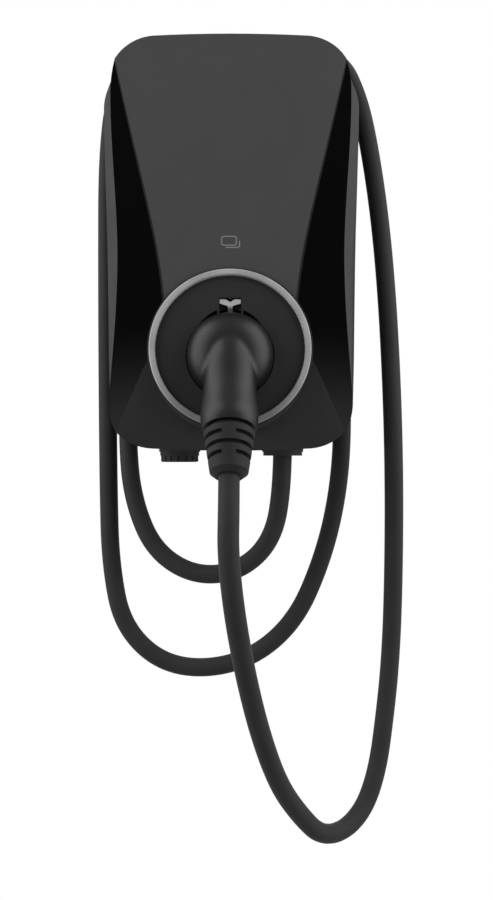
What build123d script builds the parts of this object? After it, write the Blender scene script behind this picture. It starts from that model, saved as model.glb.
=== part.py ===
from build123d import *
import os
from math import cos, pi, radians, sin, tan

# Wall charger for a car, with its cable wound on the rear neck and its connector parked in front.
# Millimetres. X is to the right, Y runs into the wall, Z is up. The wall is the plane Y = 0.
# A depth is a distance out from the wall, towards the viewer.

# Body
BODY_TOP = 147.2
BODY_BOTTOM = -146.5
TOP_CROWN = 3.5
BOTTOM_BOW = 4.0
SHOULDER_HEIGHT = 104.0
WAIST_HEIGHT = -3.0
HIP_HEIGHT = -75.0
REAR_DEPTH = 34.0
REAR_HALF_TOP = 94.8
REAR_HALF_SHOULDER = 94.7
REAR_HALF_WAIST = 91.9
REAR_HALF_HIP = 91.0
REAR_HALF_BOTTOM = 89.0
REAR_TOP_RADIUS = 39.0
REAR_BOTTOM_RADIUS = 36.0
RIM_DEPTH = 68.0
RIM_HALF_TOP = 84.2
RIM_HALF_SHOULDER = 86.0
RIM_HALF_WAIST = 81.0
RIM_HALF_HIP = 84.2
RIM_HALF_BOTTOM = 90.0
RIM_TOP_RADIUS = 34.0
RIM_BOTTOM_RADIUS = 34.0
WALL = 3.0

# How far a cutting body runs past the face it opens, and past the whole body
OVERCUT = 1.0
MARGIN = 10.0

# Neck behind the body, round which the cable is wound
NECK_HALF_WIDTH = 66.0
NECK_TOP = 122.0
NECK_BOTTOM = -128.0
NECK_TOP_RADIUS = 34.0
NECK_BOTTOM_RADIUS = 20.0

# Front: leaning panel, ridge at the ring, skirt below it
PANEL_TOP_DEPTH = 82.0
PANEL_LEAN = 8.0
PANEL_THICKNESS = 1.6
PANEL_FOOT_RISE = 17.0
RING_HEIGHT = -77.0
SKIRT_FOOT_DEPTH = 104.0
SKIRT_FOOT_RADIUS = 16.0

# Crease between the front and a side facet, from the top corner down to the foot
CREASE_TOP_INSET, CREASE_TOP_DROP = 4.7, 26.0
CREASE_BOW = 1.2
CREASE_RING_HALF, CREASE_RING_RISE = 46.0, 44.0
CREASE_WAIST_HALF, CREASE_WAIST_RISE = 45.5, 19.0
CREASE_HIP_HALF, CREASE_HIP_DROP = 56.0, 8.0
CREASE_FOOT_INSET, CREASE_FOOT_RISE = 11.2, 12.5
CREASE_TOP_OVERRUN, CREASE_FOOT_OVERRUN = 0.2, 0.33
RIM_SHARES = [0.02, 0.11, 0.36, 0.58, 0.67, 0.77, 0.86, 0.94, 0.985]
FACET_LAND = 2.0
FACET_OVERRUN = 0.4

# Drum and light ring round the holster
DRUM_RADIUS = 56.4
DRUM_RISE = 1.0
DRUM_REACH = 24.0
RING_OUTER_RADIUS = 55.2
RING_INNER_RADIUS = 50.8
RING_RISE = 3.0
RING_FOOT = 2.0
RING_EDGE = 1.2
LIGHT_PEG_COUNT = 6
LIGHT_PEG_RADIUS = 1.4
CLEARANCE = 0.2

# Holster
HOLSTER_DROP = 5.25
HOLSTER_BORE_RADIUS = 29.75
HOLSTER_WALL = 5.6
HOLSTER_LENGTH = 45.0
HOLSTER_MOUTH_CHAMFER = 0.5
DRAIN_RADIUS = 4.0
RELIEF_RADIUS = 25.0
RELIEF_RISE = 3.8
RELIEF_DEPTH = 9.0
RELIEF_FIN = 1.3

# Latch at the top of the holster and the spring above it
LATCH_WIDTH = 14.4
LATCH_WING = 4.8
LATCH_VEE_HALF, LATCH_VEE_DEPTH = 3.2, 2.2
LATCH_SLOPE = 1.7
LATCH_STEM_WIDTH = 3.4
LATCH_STEM_LENGTH = 7.4
LATCH_THICKNESS = 2.0
LATCH_REACH = 1.2
LATCH_TRAVEL = 3.0
LATCH_GAP = 0.4
LATCH_TAB_WIDTH = 5.0
LATCH_TAB_DEPTH = 4.4
LATCH_BOX_WALL = 2.0
SPRING_RADIUS = 1.7
SPRING_WIRE_RADIUS = 0.3
SPRING_PITCH = 1.5
SPRING_LENGTH = 6.0

# Connector
HEAD_RADIUS = 29.4
HEAD_LENGTH = 38.0
HEAD_RISE = 22.0
HEAD_EDGE_RADIUS = 20.0
HEAD_BLEND_RADIUS = 8.0
SEAM_TOLERANCE = 0.01
HEAD_WALL = 3.0
HEAD_FLOOR = 6.0
HEAD_NOTCH_DEPTH = 1.8
HANDLE_LEAN = 27.0
HANDLE_ROOT = 9.0
HANDLE_LENGTH = 58.0
BOOT_LENGTH = 34.0
BOOT_START_RADIUS = 17.2
BOOT_END_RADIUS = 12.1
BOOT_NOSE = 3.0
BOOT_GROOVE_COUNT = 4
BOOT_GROOVE_PITCH = 6.9
BOOT_GROOVE_WIDTH = 3.0
BOOT_GROOVE_DEPTH = 3.2
BOOT_BRIDGE_WIDTH = 9.0
CARRIER_GAP = 1.0
CARRIER_LENGTH = 27.0
POWER_PIN_RADIUS = 3.0
POWER_PIN_CIRCLE = 14.0
POWER_PIN_ANGLES = [0, 180, 235, 305]
SIGNAL_PIN_RADIUS = 1.5
SIGNAL_PIN_X, SIGNAL_PIN_Y = 6.5, 12.5
SLEEVE_WALL = 0.8
SLEEVE_LENGTH = 22.0
SLEEVE_SET_BACK = 1.0

# Handle sections: distance along the handle from its root, half width, half depth
HANDLE_SECTIONS = [
    (-20, 9.0, 5.0),
    (-9, 15.0, 13.0),
    (4, 17.3, 16.4),
    (22, 17.4, 14.8),
    (42, 18.7, 17.0),
]

# Cable glands in the bottom wall
GLAND_SPACING = 75.0
GLAND_DEPTH = 51.0
GLAND_SEAT_RADIUS = 15.0
GLAND_SEAT_DROP = 0.8
GLAND_NECK_RADIUS = 10.0
GLAND_COLLAR_RADIUS = 14.2
GLAND_COLLAR_HEIGHT = 2.8
GLAND_CAP_RADIUS = 13.6
GLAND_CAP_HEIGHT = 4.6
GLAND_CAP_FLUTES = 16
GLAND_FLUTE_RADIUS = 0.9
GLAND_NUT_FLATS = 25.0
GLAND_NUT_HEIGHT = 5.0
GLAND_NECK_HEIGHT = 12.0
INLET_BORE_RADIUS = 8.0
INLET_SEAL_RADIUS = 5.5
CABLE_DIAMETER = 13.8
CABLE_GAP = 0.1

# Wall bracket
BRACKET_THICKNESS = 2.5
BRACKET_WIDTH = 112.0
BRACKET_TOP = 104.0
BRACKET_CORNER = 8.0
BRACKET_HOLE_SPACING = 88.0
BRACKET_HOLE_RISE = 170.0
BRACKET_HOLE_RADIUS = 3.25
HOOK_SPACING = 60.0
HOOK_HEIGHT = 84.0
HOOK_WIDTH = 20.0
HOOK_RISE = 7.0
HOOK_GAP = 0.5
TONGUE_REACH = 22.0
TONGUE_WIDTH = 40.0
TONGUE_GAP = 0.3

# Screws: shank radius, head radius, head height
M4_SHANK, M4_HEAD, M4_HEAD_HEIGHT = 2.0, 3.8, 2.6
M3_SHANK, M3_HEAD, M3_HEAD_HEIGHT = 1.5, 2.8, 1.9
LOCK_SCREW_LENGTH = 5.0
COVER_SCREW_LENGTH = 16.0
BOARD_SCREW_LENGTH = 6.0
PILOT_GAP = 0.1
SOCKET_SHARE = 0.45

# Bosses that take the cover screws, as inset from the body's side and height, one of each on both sides
COVER_BOSSES = [(15.5, 115.0), (11.5, -112.0)]
COVER_BOSS_RADIUS = 5.0

# Seal between the housing and the bezel
SEAL_INSET = 0.9
SEAL_WIDTH = 1.2
SEAL_DEPTH = 1.5

# Circuit boards and what they carry
BOARD_THICKNESS = 1.6
BOARD_WIDTH = 112.0
BOARD_TOP = 62.0
BOARD_BOTTOM = -104.0
BOARD_STANDOFF = 8.5
BOARD_HOLE_INSET = 6.0
BOSS_RADIUS = 4.0
RELAY_WIDTH, RELAY_HEIGHT, RELAY_DEPTH = 30.0, 50.0, 26.0
RELAY_SPACING = 40.0
RELAY_CENTRE = -12.0
SUPPLY_WIDTH, SUPPLY_HEIGHT, SUPPLY_DEPTH = 52.0, 28.0, 20.0
SUPPLY_CENTRE = 38.0
SENSOR_OUTER_RADIUS, SENSOR_INNER_RADIUS, SENSOR_DEPTH = 17.0, 9.0, 14.0
SENSOR_X, SENSOR_Z = 28.0, -66.0
TERMINAL_WAYS = 5
TERMINAL_PITCH = 10.0
TERMINAL_HEIGHT, TERMINAL_DEPTH = 22.0, 24.0
TERMINAL_X, TERMINAL_Z = -27.0, -78.0
TERMINAL_WIRE_RADIUS = 2.8
TERMINAL_SCREW_RADIUS = 2.4
TERMINAL_SCREW_LENGTH = 5.0
TERMINAL_SLOT_WIDTH, TERMINAL_SLOT_DEPTH = 0.8, 0.8
READER_WIDTH, READER_HEIGHT = 58.0, 44.0
READER_RISE = 79.0
READER_STANDOFF = 4.0
READER_HOLE_INSET = 3.8
LED_BOARD_INNER_RADIUS = 46.0
LED_BOARD_OUTER_RADIUS = 53.0
LED_SCREW_COUNT = 3
LED_SCREW_ANGLE = 30.0
CASE_EDGE = 1.5

# Route of the cable's centre line as X, depth and height: out of the gland, through the small loop,
# once round the neck, through the middle loop, round again, and through the long loop to the connector
ROUTE = [
    (37.5, 51, -173), (30, 47, -213), (5, 42, -236), (-28, 37, -239), (-57, 33, -221), (-72, 29, -188),
    (-78, 24, -150), (-77.6, 20, -80), (-77.3, 17, 0), (-77.6, 16, 60), (-77, 16, 102), (-65, 16, 123),
    (-44, 16, 134.8), (-16, 16, 136), (16, 16, 136), (44, 16, 134.8), (65, 16, 123), (77.5, 16, 102),
    (78.5, 16, 60), (79, 17, 0), (80, 17, -60), (84, 18, -115), (81.5, 18, -172), (69.7, 18, -226),
    (46.5, 18, -279), (5, 18, -309), (-47, 18, -311), (-82, 18, -281), (-91.5, 18, -232),
    (-93, 18, -175), (-93.8, 18, -90), (-94.2, 17.5, 0), (-94, 17, 75), (-88, 17, 126), (-58, 17, 151),
    (0, 18, 155), (55, 19, 157), (83, 20.5, 146), (95, 22.5, 119), (102, 25, 88), (109.5, 30, 36),
    (114.5, 36, -22), (117.5, 41.5, -85), (119, 46, -146), (119.5, 44.5, -205), (119, 39, -268),
    (117, 36, -310), (113.5, 36, -343), (108.2, 39, -380), (98.1, 46.6, -407.3), (81.7, 61.9, -420.3),
    (63.6, 80.3, -418), (49, 96, -400), (33, 117, -373), (20, 139, -333), (10, 157, -289),
    (3, 175, -246), (-0.5, 180, -210),
]
CABLE_LAST_RUN = 24.0
RUN_SHARE = 0.45

FORWARD = (Align.CENTER, Align.CENTER, Align.MIN)
BACKWARD = (Align.CENTER, Align.CENTER, Align.MAX)
FRONT = Plane(origin=(0, 0, 0), x_dir=(1, 0, 0), z_dir=(0, -1, 0))
REAR_HALVES = (REAR_HALF_TOP, REAR_HALF_SHOULDER, REAR_HALF_WAIST, REAR_HALF_HIP, REAR_HALF_BOTTOM)
RIM_HALVES = (RIM_HALF_TOP, RIM_HALF_SHOULDER, RIM_HALF_WAIST, RIM_HALF_HIP, RIM_HALF_BOTTOM)
BACK_DEPTH = BRACKET_THICKNESS
BOARD_DEPTH = BACK_DEPTH + WALL + BOARD_STANDOFF
BOARD_FACE = BOARD_DEPTH + BOARD_THICKNESS
FRONT_WALL = WALL + PANEL_THICKNESS
FRONT_REACH = 80.0
GLAND_SEAT = BODY_BOTTOM - GLAND_SEAT_DROP
GLAND_TOP = GLAND_SEAT + GLAND_NECK_HEIGHT
INLET_X = -GLAND_SPACING / 2
OUTLET_X = GLAND_SPACING / 2
TONGUE_TOP = NECK_BOTTOM - TONGUE_GAP
TONGUE_BOTTOM = TONGUE_TOP - BRACKET_THICKNESS


def panel_depth(height):
    """Depth of the leaning panel's plane at a height."""
    return PANEL_TOP_DEPTH + (BODY_TOP - height) * tan(radians(PANEL_LEAN))


def front_depth(height):
    """Depth of the front at a height: the panel above the ring, the skirt below it."""
    if height >= RING_HEIGHT:
        return panel_depth(height)
    ridge = panel_depth(RING_HEIGHT)
    share = (RING_HEIGHT - height) / (RING_HEIGHT - BODY_BOTTOM)
    return ridge + share * (SKIRT_FOOT_DEPTH - ridge)


# Panel plane at the ring's centre: local X right, local Y up along the panel, local Z outwards
PANEL = Plane(
    origin=(0, -panel_depth(RING_HEIGHT), RING_HEIGHT),
    x_dir=(1, 0, 0),
    z_dir=(0, -cos(radians(PANEL_LEAN)), sin(radians(PANEL_LEAN))),
)
HOLSTER = PANEL * Pos(0, -HOLSTER_DROP, 0)

# Connector, whose head rests on the low side of the holster's bore
HEAD_SAG = HOLSTER_BORE_RADIUS - HEAD_RADIUS - CLEARANCE
CONNECTOR = HOLSTER * Pos(0, -HEAD_SAG, 0)
HANDLE_DIRECTION = Vector(0, -sin(radians(HANDLE_LEAN)), -cos(radians(HANDLE_LEAN)))
HANDLE_ORIGIN = (CONNECTOR * Pos(0, 0, HANDLE_ROOT)).position
HANDLE = Plane(origin=HANDLE_ORIGIN, x_dir=(1, 0, 0), z_dir=HANDLE_DIRECTION)
BOOT_END = HANDLE_ORIGIN + HANDLE_DIRECTION * (HANDLE_LENGTH + BOOT_LENGTH)

# Latch in the holster's frame: heights of the stem's tip, the wings and the spring's far end
LATCH_TIP = HEAD_RADIUS - HEAD_SAG - LATCH_REACH
LATCH_WING_FOOT = LATCH_TIP + LATCH_STEM_LENGTH
LATCH_TOP = LATCH_WING_FOOT + LATCH_WING
SPRING_TOP = LATCH_TOP + SPRING_LENGTH
LATCH_FRONT = -(RING_FOOT + LATCH_GAP)
LATCH_BACK = LATCH_FRONT - LATCH_THICKNESS
LATCH_TAB_BACK = LATCH_BACK - LATCH_TAB_DEPTH
LATCH_BOX_BACK = LATCH_TAB_BACK - LATCH_GAP - LATCH_BOX_WALL


def at(depth, x, z):
    """Place seen from the front at a depth, with local Z towards the viewer."""
    return FRONT.offset(depth) * Pos(x, z)


def block(place, width, height, low, high, bottom=0.0):
    """Box on a place, from a local bottom upwards in Y and from low to high in Z."""
    align = (Align.CENTER, Align.MIN, Align.MIN)
    return place * Pos(0, bottom, low) * Box(width, height, high - low, align=align)


def rod(place, radius, low, high):
    """Round bar on a place, from low to high in local Z."""
    return place * Pos(0, 0, low) * Cylinder(radius, high - low, align=FORWARD)


def flank(halves, inset):
    """Right-hand side of a body outline, curved through five half widths and drawn in by an inset."""
    top = BODY_TOP - TOP_CROWN - inset
    bottom = BODY_BOTTOM + BOTTOM_BOW + inset
    heights = (top, SHOULDER_HEIGHT, WAIST_HEIGHT, HIP_HEIGHT, bottom)
    return Spline(*[(half - inset, height) for half, height in zip(halves, heights)])


def body_outline(halves, top_radius, bottom_radius, inset):
    """Front outline of the body: crowned top, bowed bottom, rounded corners, drawn in by an inset."""
    right = flank(halves, inset)
    left = mirror(right, about=Plane.YZ)
    crown = ThreePointArc(left @ 0, (0, BODY_TOP - inset), right @ 0)
    bow = ThreePointArc(right @ 1, (0, BODY_BOTTOM + inset), left @ 1)
    outline = make_face([crown, right, bow, left])
    outline = fillet(outline.vertices().group_by(Axis.Y)[-1], top_radius - inset)
    return fillet(outline.vertices().group_by(Axis.Y)[0], bottom_radius - inset)


def rear_outline(inset):
    """Widest outline, at the back of the body."""
    return body_outline(REAR_HALVES, REAR_TOP_RADIUS, REAR_BOTTOM_RADIUS, inset)


def rim_outline(inset):
    """Waisted outline where the housing meets the bezel."""
    return body_outline(RIM_HALVES, RIM_TOP_RADIUS, RIM_BOTTOM_RADIUS, inset)


def neck_outline(inset):
    """Outline of the neck, drawn in by an inset."""
    width = 2 * (NECK_HALF_WIDTH - inset)
    height = NECK_TOP - NECK_BOTTOM - 2 * inset
    outline = Pos(0, (NECK_TOP + NECK_BOTTOM) / 2) * Rectangle(width, height)
    outline = fillet(outline.vertices().group_by(Axis.Y)[-1], NECK_TOP_RADIUS - inset)
    return fillet(outline.vertices().group_by(Axis.Y)[0], NECK_BOTTOM_RADIUS - inset)


def screw(place, shank, head, head_height, length):
    """Pan-head screw with a drive recess; it points along local Z, with its head seated at zero."""
    cap = Cylinder(head, head_height, align=BACKWARD)
    cap = fillet(cap.edges().sort_by(Axis.Z)[0], head_height / 3)
    recess = Pos(0, 0, -head_height) * Cylinder(head * SOCKET_SHARE, head_height / 2, align=FORWARD)
    return place * (cap - recess + Cylinder(shank, length, align=FORWARD))


def crease_line():
    """Half width and height of the crease at nine stations, run on past the top and the foot."""
    top = Vector(RIM_HALF_TOP - CREASE_TOP_INSET, BODY_TOP - CREASE_TOP_DROP)
    ring = Vector(CREASE_RING_HALF, RING_HEIGHT + CREASE_RING_RISE)
    waist = Vector(CREASE_WAIST_HALF, RING_HEIGHT + CREASE_WAIST_RISE)
    hip = Vector(CREASE_HIP_HALF, RING_HEIGHT - CREASE_HIP_DROP)
    foot = Vector(RIM_HALF_BOTTOM - CREASE_FOOT_INSET, BODY_BOTTOM + CREASE_FOOT_RISE)
    above = top + (top - ring) * CREASE_TOP_OVERRUN
    below = foot + (foot - hip) * CREASE_FOOT_OVERRUN
    middle = (top + ring) * 0.5 - Vector(CREASE_BOW, 0)
    return [above, top, middle, ring, waist, hip, (hip + foot) * 0.5, foot, below]


def facet_cutter(side, inset):
    """Block that planes the hollow facet off one side: a ruled face from crease to rim, drawn outwards."""
    rim_edge = flank(RIM_HALVES, 0)
    inner = []
    outer = []
    for crease, share in zip(crease_line(), RIM_SHARES):
        on_rim = rim_edge @ share
        near = Vector(side * (crease.X - inset), -front_depth(crease.Y), crease.Y)
        far = Vector(side * (on_rim.X - inset), -(RIM_DEPTH + FACET_LAND), on_rim.Y)
        overrun = (near - far) * FACET_OVERRUN
        inner.append(near + overrun)
        outer.append(far - overrun)
    ruled = Face.make_surface_from_curves(Spline(*inner), Spline(*outer))
    return extrude(ruled, amount=FRONT_REACH, dir=(side, -1, 0))


def side_profile(inset):
    """Broad block with the front's side profile: leaning panel, ridge, skirt and rounded foot."""
    top = BODY_TOP + MARGIN
    bottom = BODY_BOTTOM - OVERCUT
    back = -(RIM_DEPTH - MARGIN)
    foot = (-(SKIRT_FOOT_DEPTH - inset), bottom)
    profile = make_face(
        Polyline(
            (back, top),
            (-(panel_depth(top) - inset), top),
            (-(panel_depth(RING_HEIGHT) - inset), RING_HEIGHT),
            foot,
            (back, bottom),
            close=True,
        )
    )
    profile = fillet(profile.vertices().sort_by_distance(foot)[0], SKIRT_FOOT_RADIUS - inset)
    return extrude(Plane.YZ * profile, REAR_HALF_TOP + MARGIN, both=True)


def front_block():
    """Solid front of the body: the rim outline drawn forward, cut to the profile and the facets."""
    solid = extrude(FRONT.offset(RIM_DEPTH) * rim_outline(0), FRONT_REACH) & side_profile(0)
    for side in (1, -1):
        solid -= facet_cutter(side, 0)
    return solid


def front_cavity():
    """Hollow of the front block, one wall in from its outside and open at the back."""
    outline = FRONT.offset(RIM_DEPTH - OVERCUT) * rim_outline(WALL)
    solid = extrude(outline, FRONT_REACH) & side_profile(FRONT_WALL)
    for side in (1, -1):
        solid -= facet_cutter(side, FRONT_WALL)
    return solid


def panel_slab():
    """Slice of the front that the grey panel fills, from the drum up."""
    width = 2 * (REAR_HALF_TOP + MARGIN)
    return block(PANEL.location, width, 2 * BODY_TOP, -PANEL_THICKNESS, FRONT_REACH, PANEL_FOOT_RISE)


def make_wall_bracket():
    """Sheet-steel plate with two upward hooks and a forward tongue below."""
    height = BRACKET_TOP - TONGUE_BOTTOM
    outline = RectangleRounded(BRACKET_WIDTH, height, BRACKET_CORNER)
    plate = extrude(FRONT * Pos(0, TONGUE_BOTTOM + height / 2) * outline, BRACKET_THICKNESS)
    for x, z in wall_holes():
        plate -= rod(at(0, x, z), BRACKET_HOLE_RADIUS, -OVERCUT, BRACKET_THICKNESS + OVERCUT)
    lip_depth = BACK_DEPTH + WALL + HOOK_GAP
    for x in (-HOOK_SPACING / 2, HOOK_SPACING / 2):
        place = at(0, x, HOOK_HEIGHT)
        plate += block(place, HOOK_WIDTH, BRACKET_THICKNESS, 0, lip_depth + BRACKET_THICKNESS)
        plate += block(place, HOOK_WIDTH, HOOK_RISE, lip_depth, lip_depth + BRACKET_THICKNESS)
    tongue = block(at(0, 0, TONGUE_BOTTOM), TONGUE_WIDTH, BRACKET_THICKNESS, 0, TONGUE_REACH)
    tongue -= rod(lock_screw_place(), M4_SHANK + CLEARANCE, -OVERCUT, BRACKET_THICKNESS + OVERCUT)
    return plate + tongue


def wall_holes():
    """Places of the four wall fixings in front view."""
    half_width = BRACKET_HOLE_SPACING / 2
    half_rise = BRACKET_HOLE_RISE / 2
    return [(x, z) for z in (half_rise, -half_rise) for x in (-half_width, half_width)]


def lock_screw_place():
    """Underside of the tongue, looking up."""
    middle = (BACK_DEPTH + TONGUE_REACH) / 2
    return Pos(0, -middle, TONGUE_BOTTOM)


def cover_places():
    """Places of the four cover screws in front view, set in from the narrower of the two outlines."""
    places = []
    for inset, height in COVER_BOSSES:
        level = Edge.make_line((0, height), (2 * REAR_HALF_TOP, height))
        sides = [flank(halves, inset).find_intersection_points(level) for halves in (REAR_HALVES, RIM_HALVES)]
        half_width = min(points[0].X for points in sides)
        places += [(-half_width, height), (half_width, height)]
    return places


def board_places():
    """Places of the main board's four screws in front view."""
    half_width = BOARD_WIDTH / 2 - BOARD_HOLE_INSET
    rows = (BOARD_TOP - BOARD_HOLE_INSET, BOARD_BOTTOM + BOARD_HOLE_INSET)
    return [(x, z) for z in rows for x in (-half_width, half_width)]


def gland_place(x, height):
    """Place on a gland's axis at a height, with local Z upwards."""
    return Pos(x, -GLAND_DEPTH, height)


def make_rear_housing():
    """Grey housing: a body that tapers from its back to the waisted rim, on the neck behind it."""
    back = FRONT.offset(REAR_DEPTH) * rear_outline(0)
    rim = FRONT.offset(RIM_DEPTH) * rim_outline(0)
    shell = loft([back, rim], ruled=True)
    shell += extrude(FRONT.offset(BACK_DEPTH) * neck_outline(0), REAR_DEPTH - BACK_DEPTH + WALL / 2)
    for x in (INLET_X, OUTLET_X):
        shell += rod(gland_place(x, GLAND_SEAT), GLAND_SEAT_RADIUS, 0, WALL + GLAND_SEAT_DROP + BOTTOM_BOW)
    inner_back = FRONT.offset(REAR_DEPTH + WALL) * rear_outline(WALL)
    inner_rim = FRONT.offset(RIM_DEPTH) * rim_outline(WALL)
    hollow = loft([inner_back, inner_rim], ruled=True)
    hollow += extrude(FRONT.offset(BACK_DEPTH + WALL) * neck_outline(WALL), REAR_DEPTH - BACK_DEPTH + WALL)
    for x in (INLET_X, OUTLET_X):
        hollow -= rod(gland_place(x, GLAND_SEAT), GLAND_SEAT_RADIUS, 0, WALL + GLAND_SEAT_DROP + BOTTOM_BOW)
    shell -= hollow
    for x, z in board_places():
        shell += rod(at(BACK_DEPTH + WALL / 2, x, z), BOSS_RADIUS, 0, BOARD_DEPTH - BACK_DEPTH - WALL / 2)
        shell -= rod(at(BOARD_DEPTH, x, z), M3_SHANK + PILOT_GAP, -BOARD_STANDOFF, OVERCUT)
    for x in (-HOOK_SPACING / 2, HOOK_SPACING / 2):
        slot_height = BRACKET_THICKNESS + HOOK_RISE + HOOK_GAP
        slot_width = HOOK_WIDTH + 2 * HOOK_GAP
        shell -= block(
            at(BACK_DEPTH, x, HOOK_HEIGHT), slot_width, slot_height, -OVERCUT, WALL + OVERCUT, -HOOK_GAP
        )
    for x, z in cover_places():
        shell -= rod(at(REAR_DEPTH, x, z), M4_SHANK + CLEARANCE, -OVERCUT, WALL + OVERCUT)
    lock_reach = BRACKET_THICKNESS + TONGUE_GAP + WALL + OVERCUT
    shell -= rod(lock_screw_place(), M4_SHANK + PILOT_GAP, 0, lock_reach)
    for x in (INLET_X, OUTLET_X):
        shell -= rod(gland_place(x, GLAND_SEAT), GLAND_NECK_RADIUS + CLEARANCE, -OVERCUT, GLAND_NECK_HEIGHT)
    return shell - seal_ring(SEAL_DEPTH + OVERCUT)


def seal_ring(height):
    """Band that follows the rim, from the seal's floor forwards."""
    outer = rim_outline(SEAL_INSET)
    inner = rim_outline(SEAL_INSET + SEAL_WIDTH)
    return extrude(FRONT.offset(RIM_DEPTH - SEAL_DEPTH) * (outer - inner), height)


def make_lock_screw():
    return screw(lock_screw_place(), M4_SHANK, M4_HEAD, M4_HEAD_HEIGHT, LOCK_SCREW_LENGTH)


def make_cover_screws():
    screws = []
    for x, z in cover_places():
        screws.append(screw(at(REAR_DEPTH, x, z), M4_SHANK, M4_HEAD, M4_HEAD_HEIGHT, COVER_SCREW_LENGTH))
    return screws


def peg_places():
    """Places of the light ring's pegs, round the ring's middle."""
    radius = (RING_INNER_RADIUS + RING_OUTER_RADIUS) / 2
    return [PANEL.location * place for place in PolarLocations(radius, LIGHT_PEG_COUNT)]


def led_screw_places():
    """Places of the lamp board's screws on the drum's floor, looking outwards from behind."""
    radius = (LED_BOARD_INNER_RADIUS + LED_BOARD_OUTER_RADIUS) / 2 - M3_HEAD / 2
    ring = PolarLocations(radius, LED_SCREW_COUNT, start_angle=LED_SCREW_ANGLE)
    return [PANEL.location * place * Pos(0, 0, -FRONT_WALL - BOARD_THICKNESS) for place in ring]


def reader_places():
    """Places of the card reader's screws, looking outwards from behind."""
    half_width = READER_WIDTH / 2 - READER_HOLE_INSET
    half_height = READER_HEIGHT / 2 - READER_HOLE_INSET
    back = -FRONT_WALL - READER_STANDOFF - BOARD_THICKNESS
    corners = [(x, y) for x in (-half_width, half_width) for y in (-half_height, half_height)]
    return [PANEL.location * Pos(x, READER_RISE + y, back) for x, y in corners]


def latch_box(front, gap):
    """Block round the latch and its spring that passes through the drum's floor, widened by a gap."""
    width = LATCH_WIDTH + 2 * (LATCH_GAP + LATCH_BOX_WALL + gap)
    height = SPRING_TOP + LATCH_BOX_WALL + gap - HEAD_RADIUS
    return block(HOLSTER, width, height, LATCH_BOX_BACK, front, HEAD_RADIUS)


def make_front_bezel(solid):
    """Black front: hollow block with facets, a bed for the panel, and a drum for ring and holster."""
    bezel = solid - panel_slab() + rod(PANEL.location, DRUM_RADIUS, -DRUM_REACH, DRUM_RISE)
    bezel -= front_cavity() + rod(PANEL.location, DRUM_RADIUS - WALL, -2 * DRUM_REACH, -FRONT_WALL)
    bezel -= rod(PANEL.location, RING_OUTER_RADIUS + CLEARANCE, -RING_FOOT, RING_RISE)
    bezel -= rod(HOLSTER, HOLSTER_BORE_RADIUS + HOLSTER_WALL + CLEARANCE, -HOLSTER_LENGTH, RING_RISE)
    bezel -= latch_box(RING_RISE, CLEARANCE)
    for place in peg_places():
        bezel -= rod(place, LIGHT_PEG_RADIUS + CLEARANCE, -2 * FRONT_WALL, 0)
    for place in led_screw_places():
        bezel -= rod(place, M3_SHANK + PILOT_GAP, 0, BOARD_THICKNESS + FRONT_WALL - RING_FOOT - PILOT_GAP)
    for place in reader_places():
        bezel += rod(place, BOSS_RADIUS, BOARD_THICKNESS, BOARD_THICKNESS + READER_STANDOFF + WALL / 2)
        bezel -= rod(place, M3_SHANK + PILOT_GAP, 0, BOARD_THICKNESS + READER_STANDOFF)
    for x, z in cover_places():
        boss_back = REAR_DEPTH + WALL
        bore_end = REAR_DEPTH + COVER_SCREW_LENGTH + OVERCUT
        bezel += rod(at(0, x, z), COVER_BOSS_RADIUS, boss_back, RIM_DEPTH + WALL)
        bezel += rod(at(0, x, z), COVER_BOSS_RADIUS, RIM_DEPTH, 2 * RIM_DEPTH) & solid - panel_slab()
        bezel -= rod(at(0, x, z), M4_SHANK + PILOT_GAP, boss_back - OVERCUT, bore_end)
    return bezel


def make_front_panel(solid):
    """Grey skin on the leaning front, flush with the facets and cut round the drum."""
    return (solid & panel_slab()) - rod(PANEL.location, DRUM_RADIUS + CLEARANCE, -DRUM_REACH, DRUM_REACH)


def make_light_ring():
    """Pale ring with pegs that reach back towards the lamps."""
    ring = Cylinder(RING_OUTER_RADIUS, RING_RISE + RING_FOOT, align=FORWARD)
    ring -= Cylinder(RING_INNER_RADIUS, RING_RISE + RING_FOOT, align=FORWARD)
    ring = fillet(ring.edges().group_by(Axis.Z)[-1], RING_EDGE)
    ring = PANEL.location * Pos(0, 0, -RING_FOOT) * ring
    for place in peg_places():
        ring += rod(place, LIGHT_PEG_RADIUS, -FRONT_WALL + CLEARANCE, 0)
    return ring


def make_led_board():
    """Ring-shaped lamp board on the back of the drum's floor."""
    board = rod(PANEL.location, LED_BOARD_OUTER_RADIUS, -FRONT_WALL - BOARD_THICKNESS, -FRONT_WALL)
    board -= rod(PANEL.location, LED_BOARD_INNER_RADIUS, -2 * FRONT_WALL, 0)
    for place in led_screw_places():
        board -= rod(place, M3_SHANK + CLEARANCE, -OVERCUT, BOARD_THICKNESS + OVERCUT)
    return board


def make_led_screws():
    length = BOARD_THICKNESS + FRONT_WALL - RING_FOOT - 2 * PILOT_GAP
    return [screw(place, M3_SHANK, M3_HEAD, M3_HEAD_HEIGHT, length) for place in led_screw_places()]


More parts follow.
